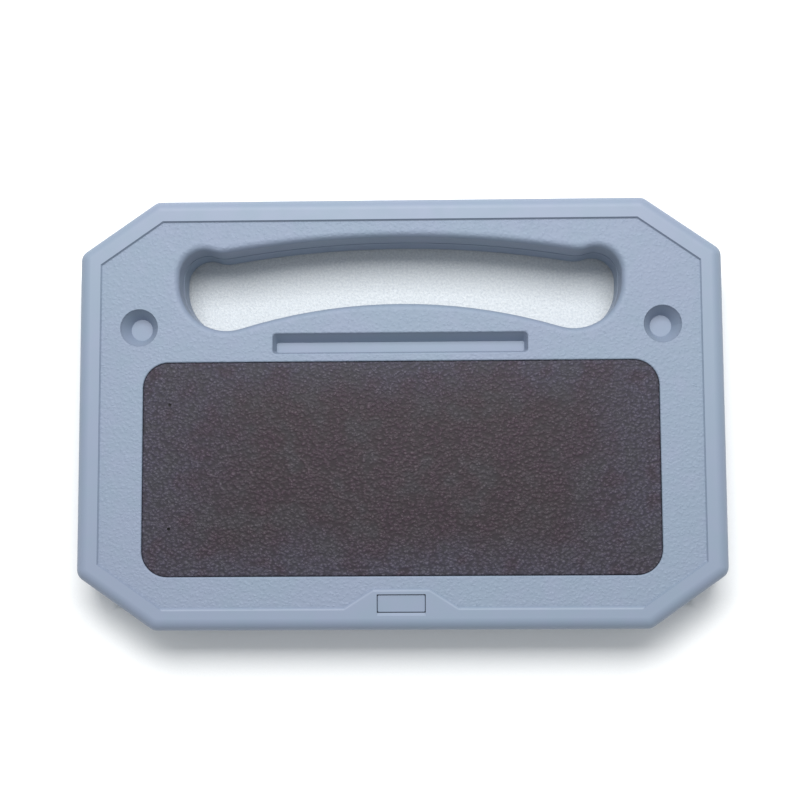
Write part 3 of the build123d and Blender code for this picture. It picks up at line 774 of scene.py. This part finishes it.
# %% Feet
FOOT_PROFILE = [(0, 0.30), (1.6, 0.26), (3.2, 0.12), (3.9, 0.0), (5.2, 0.0), (5.6, 0.1), (5.86, 0.32),
                (6.0, 0.7), (5.97, 1.1), (5.85, 1.38), (5.6, 1.5), (1.62, 1.5), (1.6, 1.7), (1.6, 3.62),
                (1.75, 3.72), (2.2, 3.74), (2.3, 3.85), (2.22, 4.1), (1.4, 5.1), (1.1, 5.27), (0, 5.3)]
for corner in ("front_left", "front_right", "rear_left", "rear_right"):
    node = "foot_" + corner
    spot = middle_of(node)
    mesh = lathe("rubber_" + node, FOOT_PROFILE, (spot.x, spot.y, 0))
    place_piece("rubber_" + node, mesh, foot_rubber, "base", node)

# %% Hinge pins and the rocker's pin
def pin_profile(radius, half, chamfer):
    return [(0, -half), (radius - chamfer, -half), (radius, -half + chamfer), (radius, half - chamfer),
            (radius - chamfer, half), (0, half)]


PINS = {"hinge_pin_left": ("steel_hinge_pin_left", 1.0, 0.25, "base"),
        "hinge_pin_right": ("steel_hinge_pin_right", 1.0, 0.25, "base"),
        "hook_pin": ("rocker_pin", 0.8, 0.2, "lid")}
for node, (name, radius, chamfer, body) in PINS.items():
    low, high = box_mm(node)
    mesh = lathe(name, pin_profile(radius, (high.x - low.x) / 2, chamfer), middle_of(node), (1, 0, 0))
    place_piece(name, mesh, drawn_steel, body, node)

# %% [markdown]
# ## Screws, scattered by a tree
#
# Twelve small screws hold the closing plate, the latch bracket and the catch. Each kind is
# modelled once: a head with a cross recess, and a shank whose radius rises and falls along a
# helix, which makes the thread. A tree then puts a copy at each point of a start mesh, turned
# by a random angle, as no two screws are ever tightened to the same angle.

# %% One screw
SHANK = 1.0
TIP = 0.15
THREAD_PITCH, THREAD_DEPTH, THREAD_FLAT = 0.62, 0.28, 0.35
THREAD_STEP = 0.09
RECESS_HALF_ARM, RECESS_REACH, RECESS_DEPTH, RECESS_SLOPE = 0.22, 1.05, 0.8, 0.12
RECESS_RINGS = 15
SCREW_SEGMENTS = 48


def recess(x, y):
    """How deep the cross recess is at a place on the head, from 0 to 1."""
    inside = max(min(abs(x), abs(y)) - RECESS_HALF_ARM, hypot(x, y) - RECESS_REACH)
    return max(0.0, min(1.0, -inside / RECESS_SLOPE))


def thread_radius(turn, height, length):
    """Radius of the shank: flat crests and sloped roots along a helix, thinner at the tip."""
    ridge = abs((height / THREAD_PITCH - turn) % 1.0 - 0.5) * 2
    root = max(0.0, (ridge - THREAD_FLAT) / (1 - THREAD_FLAT))
    return SHANK * min(1.0, length - height + TIP) * (1 - THREAD_DEPTH * root)


def screw_mesh(name, head, length):
    """Screw along +Z with its seat at 0. The head is (radius, height) pairs from its centre out."""
    turns = [k / SCREW_SEGMENTS for k in range(SCREW_SEGMENTS)]
    inner, face = head[0]
    rows = []
    for k in range(1, RECESS_RINGS):
        flat = [on_circle(inner * k / RECESS_RINGS, turn, face) for turn in turns]
        rows.append([point + Vector((0, 0, RECESS_DEPTH * recess(point.x, point.y))) for point in flat])
    rows += [[on_circle(radius, turn, height) for turn in turns] for radius, height in head]
    start = head[-1][1]
    steps = int((length - start) / THREAD_STEP)
    for step in range(1, steps):
        height = start + (length - start) * step / steps
        rows.append([on_circle(thread_radius(turn, height, length), turn, height) for turn in turns])
    points = [Vector((0, 0, face + RECESS_DEPTH)), *(point for row in rows for point in row)]
    points.append(Vector((0, 0, length)))
    tip, last = len(points) - 1, len(points) - 1 - SCREW_SEGMENTS
    faces = []
    for k in range(SCREW_SEGMENTS):
        n = (k + 1) % SCREW_SEGMENTS
        faces += [(0, 1 + n, 1 + k), (tip, last + k, last + n)]
        for row in range(1, last, SCREW_SEGMENTS):
            faces.append((row + k, row + n, row + SCREW_SEGMENTS + n, row + SCREW_SEGMENTS + k))
    return outward(mesh_from(name, [point * MM for point in points], faces))


# %% Scatter the screws
def scatter_tree():
    growth = Growth("screws at points", {"Screw": None, "Flip": 0.0, "Seed": 1.0, "Material": None})
    info = growth.node("GeometryNodeObjectInfo", None, {"Object": growth.input("Screw")}, out="Geometry")
    angle = growth.node("FunctionNodeRandomValue", {"data_type": "FLOAT"}, {
        2: 0.0, 3: 2 * pi, 8: growth.input("Seed")}, out=1)
    turn = growth.node("ShaderNodeCombineXYZ", None, {0: growth.input("Flip"), 1: 0.0, 2: angle})
    placed = growth.node("GeometryNodeInstanceOnPoints", None, {
        "Points": growth.input("Geometry"), "Instance": info, "Rotation": turn})
    return growth.finish(placed)


pan_screw = new_object("pan_screw", screw_mesh("pan_screw", [
    (1.05, -1.1), (1.2, -1.1), (1.5, -0.98), (1.75, -0.75), (1.88, -0.45), (1.9, -0.1), (1.85, 0.0),
    (SHANK, 0.0)], 5.0))
flush_screw = new_object("flush_screw", screw_mesh("flush_screw", [
    (1.1, 0.0), (1.9, 0.0), (1.99, 0.06), (SHANK, 1.0)], 6.0))
screws = scatter_tree()
PAN_HEAD = 1.1           # height of the pan screw's head below its seat
LINER_SPOTS = [(side * x, y) for x, y in ((108, -50), (108, 6), (104, 50), (48, -70)) for side in (-1, 1)]
SCREW_GROUPS = {
    "liner_screws": (flush_screw, LINER_SPOTS, box_mm("liner_screws")[0].z, 0.0, "lid"),
    "latch_screws": (pan_screw, [(-18.3, -71.0), (18.3, -71.0)],
                     box_mm("latch_screws")[0].z + PAN_HEAD, 0.0, "lid"),
    "catch_screws": (pan_screw, [(-10.0, -73.2), (10.0, -73.2)],
                     box_mm("catch_screws")[1].z - PAN_HEAD, pi, "base"),
}
for number, (node, (kind, spots, seat, flip, body)) in enumerate(SCREW_GROUPS.items()):
    start = mesh_from(node + "_spots", [(x * MM, y * MM, seat * MM) for x, y in spots])
    piece = grow("zinc_" + node, start, screws, {"Screw": kind, "Flip": flip, "Seed": float(number),
                                                 "Material": zinc_steel}, body)
    piece.data.set_sharp_from_angle(angle=SHARP_FROM)
    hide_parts(node)
for kind in (pan_screw, flush_screw):
    bpy.data.objects.remove(kind)

# %% [markdown]
# ## Springs, swept along a path
#
# A spring is a round wire along a coil. The path is a chain of points, and one tree sweeps a
# circle along it and caps both ends. The two button springs get closed end turns, made by
# letting the coil climb slowly at both ends. The rocker's torsion spring ends in a straight
# leg that rests on the bracket.

# %% Wire springs
def wire_tree():
    growth = Growth("wire along a path", {"Wire radius": 0.25, "Material": None})
    path = growth.node("GeometryNodeMeshToCurve", None, {0: growth.input("Geometry")})
    section = growth.node("GeometryNodeCurvePrimitiveCircle", None, {
        "Resolution": 12, "Radius": growth.input("Wire radius") * MM})
    return growth.finish(growth.node("GeometryNodeCurveToMesh", None, {
        "Curve": path, "Profile Curve": section, "Fill Caps": True}))


def path_mesh(name, points):
    mesh = bpy.data.meshes.new(name)
    mesh.from_pydata([tuple(p * MM) for p in points], [(k, k + 1) for k in range(len(points) - 1)], [])
    return mesh


def bend_wire(node, points, wire):
    """Sweeps a wire of this radius along the points, as the spring that stands for a node."""
    piece = grow("steel_" + node, path_mesh(node, points), wires, {
        "Wire radius": wire, "Material": drawn_steel}, "lid")
    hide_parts(node)
    return piece


wires = wire_tree()
STEPS = 40               # straight bits in one turn of a coil

# %% The two button springs
BUTTON_WIRE, BUTTON_TURNS = 0.25, 6
SLOW_ENDS = 0.85         # 0 for an even pitch, 1 for end turns that lie flat
for side in ("left", "right"):
    node = "button_spring_" + side
    low, high = box_mm(node)
    middle, height = (low + high) / 2, high.z - low.z
    radius = (high.x - low.x) / 2 - BUTTON_WIRE
    foot = Vector((middle.x, middle.y, low.z + BUTTON_WIRE))
    points = []
    for k in range(BUTTON_TURNS * STEPS + 1):
        share = k / (BUTTON_TURNS * STEPS)
        climb = share - SLOW_ENDS * sin(2 * pi * share) / (2 * pi)
        points.append(foot + on_circle(radius, k / STEPS, (height - 2 * BUTTON_WIRE) * climb))
    spring = bend_wire(node, points, BUTTON_WIRE)
    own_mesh(spring)

# %% The rocker's torsion spring
pivot = middle_of("hook_pin")
COIL, COIL_PITCH, COIL_TURNS, COIL_WIRE = 1.15, 0.45, 2.5, 0.2
COIL_START = 5.05        # X of the first turn, just outside the rocker
points = [Vector((COIL_START - back, pivot.y, pivot.z + COIL)) for back in (0.49, 0.2)]
for k in range(int(COIL_TURNS * STEPS) + 1):
    turn = 2 * pi * k / STEPS
    points.append(Vector((COIL_START + COIL_PITCH * k / STEPS, pivot.y + COIL * sin(turn),
                          pivot.z + COIL * cos(turn))))
end = points[-1]
points += [end - Vector((0, 0.6 * k, 0)) for k in (1, 2, 3, 4)]
bend_wire("hook_spring", points, COIL_WIRE)

# %% [markdown]
# ## Floor, light and camera
#
# The case lies on white paper. Under the case, where the hand opening shows it, the paper is
# rougher and carries painted shade, a much darker tone that stands for the case's shade on it.
# The light is one large soft box above and behind the case, so that every wall that faces the
# front falls into shade, and a weak even sky fills it. The camera looks almost straight down.

# %% Floor
def paper_finish(graph, place):
    x, y, z = graph.split(place)
    # Painted shade: under the case the paper takes a much darker tone, for the shade of the case above it;
    # its relief there is stronger too.
    under = (abs(x) / 112).larger(abs(y) / 74).ramp(1.0, 0.96)
    grain = graph.noise(place, 0.9, detail=4.0, rough=0.75)
    open_paper = graph.mix(grain, tone(0.89, 0.90, 0.90), tone(0.94, 0.945, 0.94))
    painted_light = graph.mix(grain.ramp(0.3, 0.7), tone(0.54, 0.575, 0.605), tone(0.70, 0.73, 0.745))
    return graph.mix(under, open_paper, painted_light), 0.8 + grain * 0.1, grain * (0.15 + under), 0.0004


FLOOR = 3.0              # metres from the middle to an edge
corners = [(-FLOOR, -FLOOR, 0), (FLOOR, -FLOOR, 0), (FLOOR, FLOOR, 0), (-FLOOR, FLOOR, 0)]
paper = make_material("paper", paper_finish)
floor = new_object("floor", mesh_from("floor", corners, [(0, 1, 2, 3)]), paper)

# %% Sky and soft box
world = bpy.data.worlds.new("studio")
bpy.context.scene.world = world
world.use_nodes = True
sky = world.node_tree.nodes["Background"].inputs
sky["Color"].default_value = tone(0.94, 0.97, 1.0)
sky["Strength"].default_value = 0.52


def area_light(name, place, target, size, power):
    light = bpy.data.lights.new(name, "AREA")
    light.shape, light.size, light.size_y, light.energy = "RECTANGLE", *size, power
    made = bpy.data.objects.new(name, light)
    bpy.context.scene.collection.objects.link(made)
    made.location = place
    made.rotation_euler = (Vector(target) - Vector(place)).to_track_quat("-Z", "Y").to_euler()


area_light("rear_key", (0, 0.40, 0.75), (0, 0, 0), (0.7, 0.42), 9.2)

# %% Camera
camera_data = bpy.data.cameras.new("camera")
camera_data.sensor_width = 36.0
camera_data.lens = 67.4
camera = bpy.data.objects.new("camera", camera_data)
bpy.context.scene.collection.objects.link(camera)
camera.location = (0.01306, -0.04879, 0.57663)
camera.rotation_mode = "ZYX"
camera.rotation_euler = (radians(5.461), radians(1.339), radians(-0.42))
camera_data.clip_start, camera_data.clip_end = 0.01, 20.0
bpy.context.scene.camera = camera
bpy.context.scene.view_settings.view_transform = "Standard"
